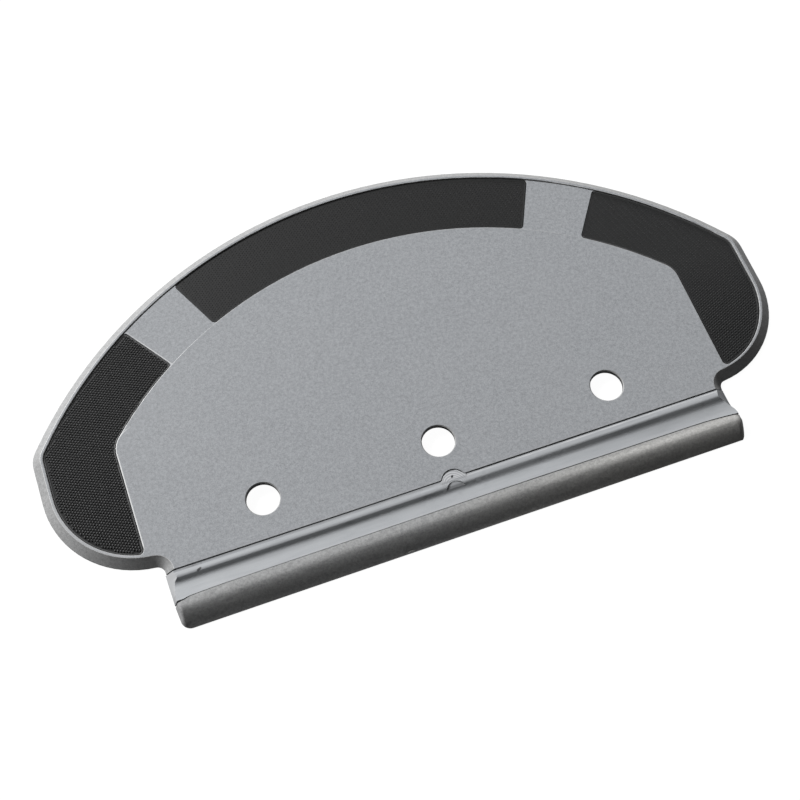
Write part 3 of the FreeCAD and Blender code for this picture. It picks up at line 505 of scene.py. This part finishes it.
def hook_pad(node, piece, mats, a1, a2, face_deg, seed, stand, deep, stretch=(1.0, 1.0), turns=True, margin=1.02, low=1.0):
    """stand is how far the hooks stand out of their backing, 1 for the full 0.54 mm,
    and deep how far the backing lies below the top, measured the same way;
    low is how much of that height the hooks keep at the pad's upper part"""
    loop = resample(top_outline(node), 0.45)
    lo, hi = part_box(node)
    z0, z1 = lo.z * 1000, hi.z * 1000
    web = z1 - 0.54 * deep                # top of the backing between the hooks
    rim = web + 0.14 * stand              # top of its smooth border
    # backing: side wall, rounded border, shallow step down to the web
    prof = [(0.0, z0), (0.0, rim - 0.16), (0.05, rim - 0.05), (0.16, rim), (0.46, rim), (0.60, rim - 0.05), (0.68, web)]
    verts, faces, mi, sm = [], [], [], []
    n = len(loop)
    for d, z in prof:
        q = offset_in(loop, d)
        verts.append(np.c_[q, np.full(n, z)])
    for k in range(len(prof) - 1):
        for i in range(n):
            j = (i + 1) % n
            faces.append((k * n + i, k * n + j, (k + 1) * n + j, (k + 1) * n + i))
            mi.append(2 if 1 <= k <= 4 else 1)
            sm.append(k not in (0,))
    # floor between the hooks and underside, each with vertices of its own so that they stay flat
    verts += [verts[-1].copy(), verts[0].copy()]
    faces.append(tuple(range(len(prof) * n, (len(prof) + 1) * n)))
    mi.append(1)
    sm.append(False)
    faces.append(tuple(range((len(prof) + 2) * n - 1, (len(prof) + 1) * n - 1, -1)))
    mi.append(1)
    sm.append(False)
    verts = [np.vstack(verts)]
    base = len(verts[0])
    # hooks on a lattice, in rows that face opposite ways in turn
    rng = np.random.default_rng(seed)
    c = loop.mean(0)
    ij = np.stack(np.meshgrid(np.arange(-320, 321), np.arange(-320, 321), indexing="ij"), -1).reshape(-1, 2)
    p = SHIFT[:2] + ij[:, :1] * a1 + ij[:, 1:] * a2
    keep = (p[:, 0] > loop[:, 0].min()) & (p[:, 0] < loop[:, 0].max()) & (p[:, 1] > loop[:, 1].min()) & (p[:, 1] < loop[:, 1].max())
    p, ij = p[keep], ij[keep]
    keep = inside(p, loop, margin)
    p, ij = p[keep], ij[keep]
    p = p + rng.normal(0, 0.012, p.shape)
    tv, tf = hook_template()
    tv = np.array(tv) * (stretch[0], stretch[1], 1.0)
    nt = len(tv)
    ang = math.radians(face_deg) + np.where((ij[:, 1] % 2 == 0) | (not turns), 0.0, math.pi) + rng.normal(0, 0.05, len(p))
    high = np.minimum(1.0, 1.0 + rng.normal(-0.015, 0.012, len(p)))
    high = high * np.interp(p[:, 1], [-34.0, 0.0], [1.0, low])
    ca, sa = np.cos(ang), np.sin(ang)
    x = p[:, :1] + ca[:, None] * tv[:, 0] - sa[:, None] * tv[:, 1]
    y = p[:, 1:] + sa[:, None] * tv[:, 0] + ca[:, None] * tv[:, 1]
    z = web + high[:, None] * tv[:, 2] * 0.54 * stand / 0.50
    hv = np.stack([x, y, z], -1).reshape(-1, 3)
    hv[:, 2] = np.minimum(hv[:, 2], z1)
    verts.append(hv)
    for k in range(len(p)):
        o = base + k * nt
        for f in tf:
            faces.append(tuple(o + i for i in f))
            mi.append(0)
            sm.append(len(f) == 4 and f != (3, 2, 1, 0))
    ob = build_mesh(piece, np.vstack(verts), faces, list(mats), mi, sm)
    ob.data.set_sharp_from_angle(angle=math.radians(50))
    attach(ob, "root")
    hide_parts(node)
    print(piece, "hooks", len(p), "faces", len(faces))
    return ob


hook_pad("hook_pad_left", "hooks_left", M_LEFT, np.array([0.0963, -1.098]), np.array([0.819, 0.665]), 62.0, 11, 1.0, 1.0, (2.0, 0.8), False, 0.85)
hook_pad("hook_pad_centre", "hooks_centre", M_CENTRE, np.array([0.27, -1.01]), np.array([0.77, 0.70]), 42.0, 12, 0.18, 0.80)
hook_pad("hook_pad_right", "hooks_right", M_RIGHT, np.array([0.284, -0.844]), np.array([0.954, 0.394]), 22.0, 13, 0.72, 0.95, (1.0, 1.0), True, 1.02, 0.22)


# ---------------------------------------------------------------------------------------------------- stage
def floor():
    me = bpy.data.meshes.new("floor")
    s = 3.0
    me.from_pydata([(-s, -s, 0), (s, -s, 0), (s, s, 0), (-s, s, 0)], [], [(0, 1, 2, 3)])
    ob = bpy.data.objects.new("floor", me)
    ob.location.z = -0.00002
    bpy.context.scene.collection.objects.link(ob)
    m = bpy.data.materials.new("pale_floor")
    t = Tree(m)
    t.finish(Base_Color=(0.08, 0.08, 0.08), Roughness=0.9, Specular_IOR_Level=0.02,
             Emission_Color=(1.0, 1.0, 1.0), Emission_Strength=0.97)
    me.materials.append(m)
    ob.visible_diffuse = False
    ob.visible_glossy = False


floor()


def area(name, azimuth, elevation, dist, size, watts, target=(0.0, 0.0, 0.0), color=(1, 1, 1)):
    """softbox: azimuth in degrees from +Y towards -X, elevation above the floor"""
    li = bpy.data.lights.new(name, "AREA")
    li.shape = "RECTANGLE"
    li.size, li.size_y = size
    li.energy = watts
    li.color = color
    ob = bpy.data.objects.new(name, li)
    a, e = math.radians(azimuth), math.radians(elevation)
    d = Vector((-math.sin(a) * math.cos(e), math.cos(a) * math.cos(e), math.sin(e)))
    ob.location = Vector(target) + d * dist
    ob.rotation_mode = "QUATERNION"
    ob.rotation_quaternion = d.to_track_quat("Z", "Y")
    bpy.context.scene.collection.objects.link(ob)
    return ob


area("key", 37.0, 31.5, 3.2, (1.6, 1.3), 188.0)
area("side", -47.0, 12.0, 3.2, (1.2, 0.8), 38.0)

world = bpy.data.worlds.new("world")
world.use_nodes = True
bg = world.node_tree.nodes["Background"]
bg.inputs["Color"].default_value = (1.0, 1.0, 1.0, 1.0)
bg.inputs["Strength"].default_value = 0.085
bpy.context.scene.world = world
bpy.context.scene.view_settings.view_transform = "Standard"
bpy.context.scene.view_settings.look = "None"
